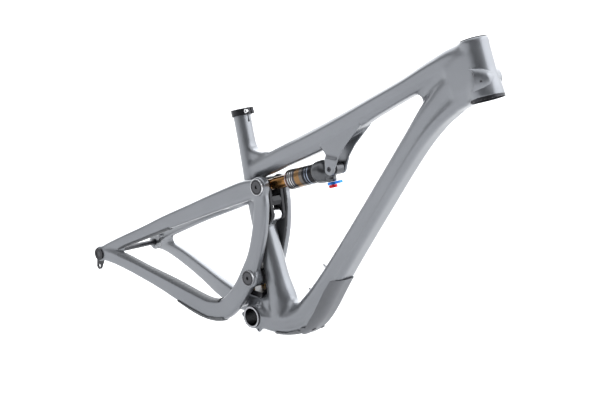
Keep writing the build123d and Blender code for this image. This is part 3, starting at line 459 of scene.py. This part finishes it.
def material(name, colour, roughness, metallic=0.0, coat=0.0, grain=0.08, scale=60.0, bump=0.0,
             bands=None, ribs=None):
    """Procedural finish: colour and roughness vary with noise, and fine bump gives it a surface."""
    made = bpy.data.materials.new(name)
    made.use_nodes = True
    tree = made.node_tree
    nodes, links = tree.nodes, tree.links
    shader = nodes["Principled BSDF"]
    shader.inputs["Metallic"].default_value = metallic
    shader.inputs["Coat Weight"].default_value = coat
    shader.inputs["Coat Roughness"].default_value = 0.18
    place = nodes.new("ShaderNodeTexCoord")
    noise = nodes.new("ShaderNodeTexNoise")
    noise.inputs["Scale"].default_value = scale
    noise.inputs["Detail"].default_value = 6.0
    links.new(place.outputs["Object"], noise.inputs["Vector"])
    ramp = nodes.new("ShaderNodeValToRGB")
    spread = 0.5 * grain
    tone = (1, 1, 1) if bands else colour
    ramp.color_ramp.elements[0].position, ramp.color_ramp.elements[1].position = 0.3, 0.7
    ramp.color_ramp.elements[0].color = (*[c * (1 - spread) for c in tone], 1)
    ramp.color_ramp.elements[1].color = (*[c * (1 + spread) for c in tone], 1)
    links.new(noise.outputs["Fac"], ramp.inputs["Fac"])
    base = ramp.outputs["Color"]
    if bands:
        mix = nodes.new("ShaderNodeMix")
        mix.data_type, mix.blend_type = "RGBA", "MULTIPLY"
        mix.inputs["Factor"].default_value = 1.0
        links.new(base, mix.inputs["A"])
        links.new(banded(tree, place, bands), mix.inputs["B"])
        base = mix.outputs["Result"]
    links.new(base, shader.inputs["Base Color"])
    rough = nodes.new("ShaderNodeMapRange")
    rough.inputs["To Min"].default_value = roughness * 0.85
    rough.inputs["To Max"].default_value = min(1.0, roughness * 1.15)
    links.new(noise.outputs["Fac"], rough.inputs["Value"])
    links.new(rough.outputs["Result"], shader.inputs["Roughness"])
    relief = None
    if ribs:
        relief = nodes.new("ShaderNodeBump")
        relief.inputs["Strength"].default_value = 0.5
        relief.inputs["Distance"].default_value = 0.0004
        links.new(ribbed(tree, place, ribs), relief.inputs["Height"])
    if bump:
        fine = nodes.new("ShaderNodeTexNoise")
        fine.inputs["Scale"].default_value = scale * 25
        fine.inputs["Detail"].default_value = 3.0
        links.new(place.outputs["Object"], fine.inputs["Vector"])
        grit = nodes.new("ShaderNodeBump")
        grit.inputs["Strength"].default_value = bump
        grit.inputs["Distance"].default_value = 0.0004
        links.new(fine.outputs["Fac"], grit.inputs["Height"])
        if relief:
            links.new(relief.outputs["Normal"], grit.inputs["Normal"])
        relief = grit
    if relief:
        links.new(relief.outputs["Normal"], shader.inputs["Normal"])
    return made


SHOCK_AXIS = (SHOCK_DIR[0], 0.0, SHOCK_DIR[1])
SHOCK_ORIGIN = (UPPER_PIVOT[0], 0.0, UPPER_PIVOT[1])
SILVER, DARK, BLACK = (0.62, 0.62, 0.64), (0.06, 0.06, 0.065), (0.012, 0.012, 0.014)
PEWTER = (0.30, 0.30, 0.315)
BRONZE, SMOKE, PALE, RED = (0.20, 0.11, 0.045), (0.11, 0.10, 0.095), (0.26, 0.30, 0.38), (0.22, 0.06, 0.04)
SEAL_BANDS = [(50, PEWTER), (59.5, RED), (60.5, SMOKE), (65, PEWTER), (67.5, SMOKE), (71, SILVER)]
SEAL_BANDS += [(72.5, SMOKE), (76, PEWTER), (78.5, DARK)]
SLEEVE_BANDS = [(70, DARK), (83, BRONZE), (96, SMOKE), (104, BLACK), (111, PALE), (112, BLACK)]
SLEEVE_BANDS += [(117, PALE), (119, BLACK)]
# Bottom bracket sleeve: painted shade, black in the bore, pewter on the face and dark grey beyond, all darker
# than silver for the shade inside the shell
SHELL_SHADE_BANDS = [(0, BLACK), (17.35, PEWTER), (21.2, DARK)]
CAP_BANDS = [(0, DARK), (11.5, BLACK), (13.2, DARK), (15.2, SILVER)]
GREY, SATIN = (0.178, 0.185, 0.2), 0.33
SATIN_LOOK = {"metallic": 0.75, "coat": 0.35, "grain": 0.1, "scale": 9, "bump": 0.05}
# Near-black for the struts' inner faces: painted shade, standing in for the shade between the struts
INNER_STRUT_SHADE = (0.03, 0.031, 0.034)
MATERIALS = {
    "carbon": material("carbon_satin", GREY, SATIN, **SATIN_LOOK),
    "carbon_trim": material("trim_satin", GREY, SATIN, **SATIN_LOOK),
    # carbon_bare: painted shade on the struts' inner faces, a near-black colour for the shade between them
    "carbon_bare": material("inner_strut_painted_shade", INNER_STRUT_SHADE, 0.45, metallic=0.2, grain=0.3, scale=90, bump=0.1),
    "silver_metal": material("machined_aluminium", SILVER, 0.28, metallic=1.0, scale=90, bump=0.05),
    # The sleeve's threads come from the ribs; its bands are painted shade, darkest in the bore
    "shell_metal_painted_shade": material(
        "shell_threads_and_painted_shade", SILVER, 0.3, metallic=1.0, scale=90, bump=0.04,
        bands=("round", (0, 0, 0), (0, 1, 0), SHELL_SHADE_BANDS), ribs=((0, 1, 0), 1.4)),
    "black_metal": material("black_anodised", (0.022, 0.022, 0.025), 0.36, metallic=0.7, scale=70, bump=0.06),
    "link_black": material("link_anodised", (0.018, 0.018, 0.02), 0.33, metallic=0.75, scale=70, bump=0.05),
    "upper_caps": material(
        "cap_anodised", DARK, 0.34, metallic=0.85, scale=80, bump=0.04,
        bands=("round", SHOCK_ORIGIN, (0, 1, 0), CAP_BANDS)),
    "lower_caps": material(
        "cap_anodised_low", DARK, 0.34, metallic=0.85, scale=80, bump=0.04,
        bands=("round", (LOWER_PIVOT[0], 0, LOWER_PIVOT[1]), (0, 1, 0), CAP_BANDS)),
    "steel": material("bright_steel", (0.55, 0.55, 0.56), 0.25, metallic=1.0, scale=110, bump=0.04),
    "steel_dark": material("black_oxide_steel", (0.05, 0.05, 0.055), 0.35, metallic=0.9, scale=90, bump=0.05),
    "axle_metal": material("axle_anodised", (0.06, 0.06, 0.065), 0.32, metallic=0.85, scale=80, bump=0.05),
    "guard_rubber": material(
        "guard_rubber", (0.075, 0.078, 0.085), 0.55, grain=0.2, scale=40, bump=0.2, ribs=((1, 0, 0.3), 9.0)),
    "protector_rubber": material(
        "protector_rubber", (0.095, 0.098, 0.108), 0.5, grain=0.15, scale=30, bump=0.15),
    "guard_rubber_soft": material("wiper_rubber", (0.02, 0.02, 0.02), 0.7, scale=60, bump=0.2),
    "rail_coating": material("rail_bronze", (0.42, 0.26, 0.10), 0.2, metallic=1.0, scale=120, bump=0.02),
    "gold_coating": material("shaft_bronze", (0.27, 0.135, 0.045), 0.2, metallic=1.0, grain=0.04, scale=120),
    "bushing_plastic": material("bushing_plastic", (0.03, 0.03, 0.03), 0.5, scale=60, bump=0.1),
    "shock_grey": material(
        "shock_grey", (0.07, 0.072, 0.078), 0.33, metallic=0.8, coat=0.2, scale=70, bump=0.06),
    "shock_sleeve": material(
        "sleeve_anodised", SMOKE, 0.24, metallic=0.85, scale=70, bump=0.03,
        bands=("along", SHOCK_ORIGIN, SHOCK_AXIS, SLEEVE_BANDS)),
    "shock_rings": material(
        "ring_machined", SILVER, 0.25, metallic=1.0, scale=110, bump=0.03,
        bands=("along", SHOCK_ORIGIN, SHOCK_AXIS, SEAL_BANDS)),
    "blue_anodised": material("blue_anodised", (0.02, 0.16, 0.55), 0.3, metallic=0.75, scale=70, bump=0.04),
    "red_anodised": material("red_anodised", (0.60, 0.025, 0.035), 0.3, metallic=0.75, scale=70, bump=0.04),
}
# Nodes whose finish is more than their slot's plain one
SPECIAL = {"bb_sleeve": "shell_metal_painted_shade", "upper_pivot_caps": "upper_caps", "lower_pivot_bolts": "lower_caps"}
SPECIAL |= {"downtube_protector": "protector_rubber", "cable_port_screws": "steel_dark"}
SPECIAL |= {"bottle_inserts": "silver_metal", "bottle_bolts": "steel"}
SLOT_OF = {row["node"]: row["material_slot"] for row in frame["record"]["subparts"]}


def finish_with(item, slot):
    """Gives item the finish of the given slot in place of its own."""
    item.data.materials.clear()
    item.data.materials.append(MATERIALS[slot])
    return item


for node, item in frame["nodes"].items():
    item.data.materials.clear()
    item.data.materials.append(MATERIALS[SPECIAL.get(node, SLOT_OF[node])])


# ---------------------------------------------------------------- front triangle
def crisp(name, table, shape, fade=1.6):
    """The middle of a tube with its own edges, diving into the blended body at both ends."""
    first, last = table[0], table[-1]
    thinned = [(*row[:3], row[3] - fade, row[4] - fade) for row in (first, last)]
    return tube(name, [thinned[0], *table[1:-1], thinned[1]], shape)


def make_front():
    """Front triangle: tubes blended into one skin, small features, the tubes' edges, then the openings."""
    tubes = [tube("down", DOWN_TUBE, DOWN_SHAPE), tube("top", TOP_TUBE, TOP_SHAPE)]
    tubes.append(tube("seat", SEAT_TUBE, SEAT_CORNER))
    tubes.append(rod("head", HEAD_BOTTOM, HEAD_DIR, HEAD_RADII))
    tubes.append(pin("shell", BB, SHELL_R, -SHELL_HALF, SHELL_HALF))
    tubes.append(slab("floor", SHELL_BLOCK, -24, 24))
    tubes.append(slab("roof", POCKET_ROOF, -20, 20))
    # fillers for the widest blends, at the foot of the mast and where the tubes widen into the head
    tubes.append(slab("mast_filler", MAST_FILLER, -13, 13))
    tubes.append(tube("head_filler", HEAD_FILLER, FILLER_CORNER))
    body = blend_corners(join("frame_body", *tubes), FRONT_ROUND, FRONT_VOXEL)
    # smaller features, with small rounds
    extra = [slab("web", BOSS_WEB, -9, 9)]
    extra.append(pin("boss", FRAME_PIVOT, BOSS_R, -BOSS_HALF, BOSS_HALF))
    for side in (-1, 1):
        low, high = sorted((side * EAR_IN, side * EAR_OUT))
        extra.append(slab("ear", EAR_LOW, low, high))
        extra.append(slab("ear_root", EAR_OUTLINE, *sorted((side * EAR_IN, side * EAR_ROOT_OUT))))
        extra.append(pin("ear_eye", SHOCK_FRONT, EAR_EYE_R, low, high))
    extra.append(rod("mast", SEAT_TOP, SEAT_DIR, ((-60, SEAT_R), (0, SEAT_R))))
    for angle in ISCG_ANGLES:
        extra.append(pin("tab", along(BB, heading(angle), ISCG_R), TAB_R, -31, -25))
    body = join("frame_body", body, *extra)
    remesh(body, DETAIL_VOXEL)
    swell(body, DETAIL_ROUND)
    remesh(body, DETAIL_VOXEL)
    soften(body, 2)
    swell(body, -DETAIL_ROUND - TUCK)
    # the tubes' own edges come back through the tucked blends
    edges = [crisp("down_edges", DOWN_TUBE[3:10], DOWN_SHAPE), crisp("top_edges", TOP_TUBE[2:9], TOP_SHAPE)]
    body = join("frame_body", body, *edges)
    remesh(body, LAST_VOXEL)
    soften(body, 4)
    # openings
    tools = [slab("pocket", POCKET, -50, 50)]
    tools.append(rod("seat_bore", SEAT_TOP, SEAT_DIR, ((-SEAT_BORE_DEPTH, SEAT_BORE_R), (5, SEAT_BORE_R))))
    tools.append(rod("collar_seat", SEAT_TOP, SEAT_DIR, ((0.0, 30), (5, 30))))
    tools.append(rod("lower_seat", HEAD_BOTTOM, HEAD_DIR, ((-5, LOWER_SEAT_R), (11, LOWER_SEAT_R))))
    tools.append(rod("head_bore", HEAD_BOTTOM, HEAD_DIR, ((1, HEAD_BORE_R), (102, HEAD_BORE_R))))
    tools.append(rod("upper_seat", HEAD_BOTTOM, HEAD_DIR, ((91, UPPER_SEAT_R), (108, UPPER_SEAT_R))))
    tools.append(pin("shell_bore", BB, SHELL_BORE_R, -45, 45))
    tools.append(pin("boss_bore", FRAME_PIVOT, BOSS_BORE_R, -15, 15))
    tools.append(pin("shock_bore", SHOCK_FRONT, SHOCK_BORE_R, -30, 30))
    slot_top, slot_end = along(SEAT_TOP, SEAT_DIR, 4), along(SEAT_TOP, SEAT_DIR, -SLOT_DEPTH)
    slot = [slot_top, slot_end, along(slot_end, SEAT_FRONT, 26), along(slot_top, SEAT_FRONT, 26)]
    tools.append(slab("slot", slot, -SLOT_HALF, SLOT_HALF))
    tools.append(rod("slot_hole", slot_end, SEAT_FRONT, ((0, SLOT_HOLE_R), (26, SLOT_HOLE_R))))
    for angle in ISCG_ANGLES:
        tools.append(pin("tab_hole", along(BB, heading(angle), ISCG_R), TAB_HOLE_R, -33, -23))
    for tool in tools:
        cut(body, tool)
    return body


def on_boss(centre, normal):
    """The machined link boss between the two arms of the link."""
    reach = hypot(centre.x - FRAME_PIVOT[0], centre.z - FRAME_PIVOT[1])
    return reach < 13.4 and abs(centre.y) < 11.4 and (centre.x > FRAME_PIVOT[0] - 6 or abs(centre.y) > 9.6)


def painted_shade_inner_struts(centre, normal):
    """Inner faces of the struts beside the seat tube, which take painted shade: a near-black colour standing
    in for the shade between the struts.
    """
    inward = normal.y * (1 if centre.y < 0 else -1)
    return inward > 0.45 and centre.x > -34 and 88 < centre.z < 285 and abs(centre.y) < 45


def make_arm():
    """Swingarm: one half and its mirror image blended into one skin, with bridges, posts and bores."""
    half = [stay("strut", STRUT_AND_CHAINSTAY), stay("seatstay", SEATSTAY)]
    half.append(pin("knuckle", UPPER_PIVOT, KNUCKLE_R, -KNUCKLE_OUT, -KNUCKLE_IN))
    half.append(pin("lower_boss", LOWER_PIVOT, LOWER_BOSS_R, -LOWER_OUT, -LOWER_IN))
    half.append(pin("dropout", REAR_AXLE, DROPOUT_R, -DROPOUT_OUT, -DROPOUT_IN))
    right = join("arm_half", *half)
    left = mirrored(right, "arm_left")
    body = join("swingarm_body", right, left, slab("yoke", YOKE, -40, 40), slab("bridge", BRIDGE, -36, 36))
    blend_corners(body, ARM_ROUND, ARM_BLEND_VOXEL)
    post = ((0, POST_R), (POST_LENGTH, POST_R))
    body = join("swingarm_body", body, *[rod("post", p, STAY_UP, post, y=BRAKE_Y) for p in BRAKE_POSTS])
    remesh(body, ARM_VOXEL)
    soften(body, 4)
    back, front_edge = REAR_AXLE[0] - 30, REAR_AXLE[0] + 28
    gap = [(back, 60), (front_edge, 60), (front_edge, 5), (back, 5)]
    tools = [slab("hub_gap", gap, -HUB_HALF, HUB_HALF), pin("outer_left", REAR_AXLE, 26, DROPOUT_OUT, 95)]
    tools.append(pin("outer_right", REAR_AXLE, 26, -95, -DROPOUT_OUT))
    tools.append(pin("axle_hole", REAR_AXLE, AXLE_HOLE_R, 60, 90))
    tools.append(pin("hanger_hole", REAR_AXLE, HANGER_BORE_R, -90, -60))
    for place in BRAKE_POSTS:
        tools.append(rod("post_bore", place, STAY_UP, ((16, POST_BORE_R), (40, POST_BORE_R)), y=BRAKE_Y))
    for side in (-1, 1):
        low, high = sorted((side * 16, side * 50))
        tools.append(pin("upper_bore", UPPER_PIVOT, PIVOT_BORE_R, low, high))
        tools.append(pin("lower_bore", LOWER_PIVOT, PIVOT_BORE_R, low, high))
        low, high = sorted((side * KNUCKLE_OUT, side * 60))
        tools.append(pin("upper_face", UPPER_PIVOT, UPPER_CAP_R, low, high))
        low, high = sorted((side * LOWER_OUT, side * 60))
        tools.append(pin("lower_face", LOWER_PIVOT, LOWER_CAP_R, low, high))
    for tool in tools:
        cut(body, tool)
    return body


front = make_front()
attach(front, "front")
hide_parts("front_triangle")
finish_with(front, "carbon")
repaint(front, "silver_metal", on_boss)
arm = make_arm()
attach(arm, "swingarm")
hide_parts("swingarm")
finish_with(arm, "carbon")
# Painted shade: the struts' inner faces beside the seat tube get a near-black colour for the shade between
# them
repaint(arm, "carbon_bare", painted_shade_inner_struts)


# ---------------------------------------------------------------- cable pods
def make_pod(name, side):
    """Scoop over a cable port: its skin runs back from the nose, turns in at the mouth and ends inside.
    The mouth is cut back on its outer side, so that it opens outwards as well as rearwards."""
    rings = []
    for step, outer, half_height in POD_OUTSIDE + POD_INSIDE:
        ring = []
        for k in range(POD_COUNT):
            a = 2 * pi * k / POD_COUNT
            u = POD_HALF_WIDTH * abs(cos(a)) ** POD_SQUARENESS * (1 if cos(a) > 0 else -1)
            v = half_height * abs(sin(a)) ** POD_SQUARENESS * (1 if sin(a) > 0 else -1)
            share = max(0.0, u - POD_FLAT) / (POD_HALF_WIDTH - POD_FLAT)
            cut_back = -min(step, 0.0) * POD_CUT_BACK * share
            centre = along(CABLE_PORT, POD_DIR, step + cut_back)
            y = side * (outer - POD_HALF_WIDTH + u)
            ring.append((centre[0] - POD_DIR[1] * v, y, centre[1] + POD_DIR[0] * v))
        rings.append(ring)
    item = skin_rings(name, rings)
    # The inner rings and the end cap inside the mouth are near-black: partly a black insert, partly painted
    # shade for the dark opening
    inner = len(POD_OUTSIDE) * POD_COUNT
    item.data.materials.append(MATERIALS["carbon_trim"])
    item.data.materials.append(MATERIALS["guard_rubber_soft"])
    for face in item.data.polygons:
        face.material_index = 1 if max(face.vertices) >= inner else 0
    return item


for node, side in (("cable_port_cover_right", -1), ("cable_port_cover_left", 1)):
    pod = make_pod(node + "_scoop", side)
    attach(pod, "front")
    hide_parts(node)


# ---------------------------------------------------------------- link
def strap_outline(point_a, radius_a, point_b, radius_b, steps=16):
    """Outline that wraps two circles, from the lower one round to the upper one."""
    run = hypot(point_b[0] - point_a[0], point_b[1] - point_a[1])
    dx, dz = (point_b[0] - point_a[0]) / run, (point_b[1] - point_a[1]) / run
    lean = asin((radius_a - radius_b) / run)
    points = []
    for centre, radius, start, turn in (
        (point_a, radius_a, pi / 2 - lean, pi + 2 * lean),
        (point_b, radius_b, -pi / 2 - lean, pi - 2 * lean),
    ):
        for k in range(steps):
            a = start + turn * k / (steps - 1)
            u, v = radius * cos(a), radius * sin(a)
            points.append((centre[0] + dx * u - dz * v, centre[1] + dz * u + dx * v))
    return points


def inset(points, amount):
    """Closed outline moved inwards."""
    centre = sum((Vector(p) for p in points), Vector((0, 0))) / len(points)
    moved = []
    for i, point in enumerate(points):
        a, b, c = Vector(points[i - 1]), Vector(point), Vector(points[(i + 1) % len(points)])
        sides = []
        for edge in (b - a, c - b):
            normal = Vector((-edge.y, edge.x)).normalized()
            sides.append(normal if normal.dot(centre - b) > 0 else -normal)
        bisector = (sides[0] + sides[1]).normalized()
        moved.append(tuple(b + bisector * amount / max(0.4, bisector.dot(sides[0]))))
    return moved


def chamfered(name, points, low, high, chamfer):
    """Slab with chamfered rims, which take the second material."""
    small = inset(points, chamfer)
    levels = ((small, low), (points, low + chamfer), (points, high - chamfer), (small, high))
    item = skin_rings(name, [[(x, y, z) for x, z in outline] for outline, y in levels])
    count = len(points)
    for face in item.data.polygons:
        face.material_index = 1 if len(face.vertices) == 4 and face.index // count in (0, 2) else 0
    item.data.shade_flat()
    return item


def make_link():
    """H-shaped link with bright chamfers."""
    parts = []
    strap = strap_outline(FRAME_PIVOT, LINK_LOW_R, UPPER_PIVOT, LINK_TOP_R)
    for low, high in ((-LINK_OUT, -LINK_IN), (LINK_IN, LINK_OUT)):
        parts.append(chamfered("arm", strap, low, high, LINK_CHAMFER))
    parts.append(chamfered("bridge", LINK_BRIDGE, -13, 13, LINK_CHAMFER))
    return join("link_body", *parts)


link = make_link()
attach(link, "link")
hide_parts("link")
for slot in ("link_black", "silver_metal"):
    link.data.materials.append(MATERIALS[slot])


# ---------------------------------------------------------------- shock bell
def make_bell():
    """Cast end of the air can with its eye, neck and control block."""
    parts = [rod("bell", UPPER_PIVOT, SHOCK_DIR, BELL_PROFILE)]
    parts.append(pin("eye", SHOCK_FRONT, EYE_R, -10, 10))
    knob_axis = along(UPPER_PIVOT, SHOCK_DIR, 161.0)
    parts.append(rod("block", knob_axis, SHOCK_DOWN, ((0, 9.5), (18, 9.5), (20.5, 9.0), (22.5, 8.0))))
    parts.append(rod("shoulder", knob_axis, SHOCK_DOWN, ((0, 13.5), (9, 12.5), (13, 9.5))))
    body = join("shock_bell", *parts)
    remesh(body, BELL_VOXEL)
    swell(body, BELL_ROUND)
    remesh(body, BELL_VOXEL)
    soften(body, 4)
    swell(body, -BELL_ROUND)
    soften(body, 2)
    cut(body, pin("eye_bore", SHOCK_FRONT, EYE_BORE_R, -20, 20))
    return cut(body, rod("can", UPPER_PIVOT, SHOCK_DIR, ((120, SLEEVE_R), (137, SLEEVE_R))))


bell = make_bell()
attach(bell, "shock_body")
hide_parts("shock_head")
finish_with(bell, "shock_grey")

# ---------------------------------------------------------------- floor, light and camera
FLOOR_Z, FLOOR_HALF = -150.0, 60000.0
corners = [(a * FLOOR_HALF, b * FLOOR_HALF, FLOOR_Z) for a, b in ((-1, -1), (1, -1), (1, 1), (-1, 1))]
floor = make("studio_floor", corners, [(0, 1, 2, 3)])
floor.data.materials.append(material("floor_white", (0.72, 0.72, 0.72), 0.9, grain=0.01, scale=0.4))

AMBIENT = 0.05
# Soft boxes in the studio's sky: direction, cosines where each begins and is full, strength
SOFT_BOXES = (
    ((0.0, 0.1, 1.0), 0.3, 0.9, 2.1),
    ((-0.66, 0.70, 0.28), 0.4, 0.8, 2.8),
    ((0.82, 0.54, 0.22), 0.7, 0.86, 3.4),
    ((-0.85, -0.50, 0.20), 0.8, 0.96, 0.6),
)


def studio_sky():
    """World light: a dim room with soft boxes overhead, behind, in front and to the left."""
    world = bpy.data.worlds.new("studio")
    world.use_nodes = True
    tree = world.node_tree
    nodes, links = tree.nodes, tree.links
    place = nodes.new("ShaderNodeTexCoord")
    total = None
    for direction, begins, full, strength in SOFT_BOXES:
        facing = nodes.new("ShaderNodeVectorMath")
        facing.operation = "DOT_PRODUCT"
        links.new(place.outputs["Generated"], facing.inputs[0])
        facing.inputs[1].default_value = Vector(direction).normalized()
        box = nodes.new("ShaderNodeMapRange")
        box.interpolation_type = "SMOOTHSTEP"
        box.inputs["From Min"].default_value, box.inputs["From Max"].default_value = begins, full
        box.inputs["To Max"].default_value = strength
        links.new(facing.outputs["Value"], box.inputs["Value"])
        add = nodes.new("ShaderNodeMath")
        links.new(box.outputs["Result"], add.inputs[0])
        if total is None:
            add.inputs[1].default_value = AMBIENT
        else:
            links.new(total.outputs["Value"], add.inputs[1])
        total = add
    links.new(total.outputs["Value"], nodes["Background"].inputs["Strength"])
    nodes["Background"].inputs["Color"].default_value = (0.97, 0.985, 1.0, 1)
    bpy.context.scene.world = world


studio_sky()
bpy.context.scene.view_settings.view_transform = "Standard"

camera = bpy.data.cameras.new("camera")
camera.lens, camera.sensor_width = 68.175, 36.0
camera.shift_x, camera.shift_y = -0.01057, -0.0392
camera.clip_start, camera.clip_end = 0.05, 50
eye = bpy.data.objects.new("camera", camera)
bpy.context.scene.collection.objects.link(eye)
CAMERA_PLACE = (1.52647, -1.54585, 0.7644)
RIGHT, UP = Vector((0.72818, 0.68418, 0.04072)), Vector((-0.17672, 0.13002, 0.97564))
BACK = RIGHT.cross(UP).normalized()
turn = Matrix((RIGHT, UP, BACK)).transposed().to_4x4()
eye.matrix_world = Matrix.Translation(CAMERA_PLACE) @ turn
bpy.context.scene.camera = eye
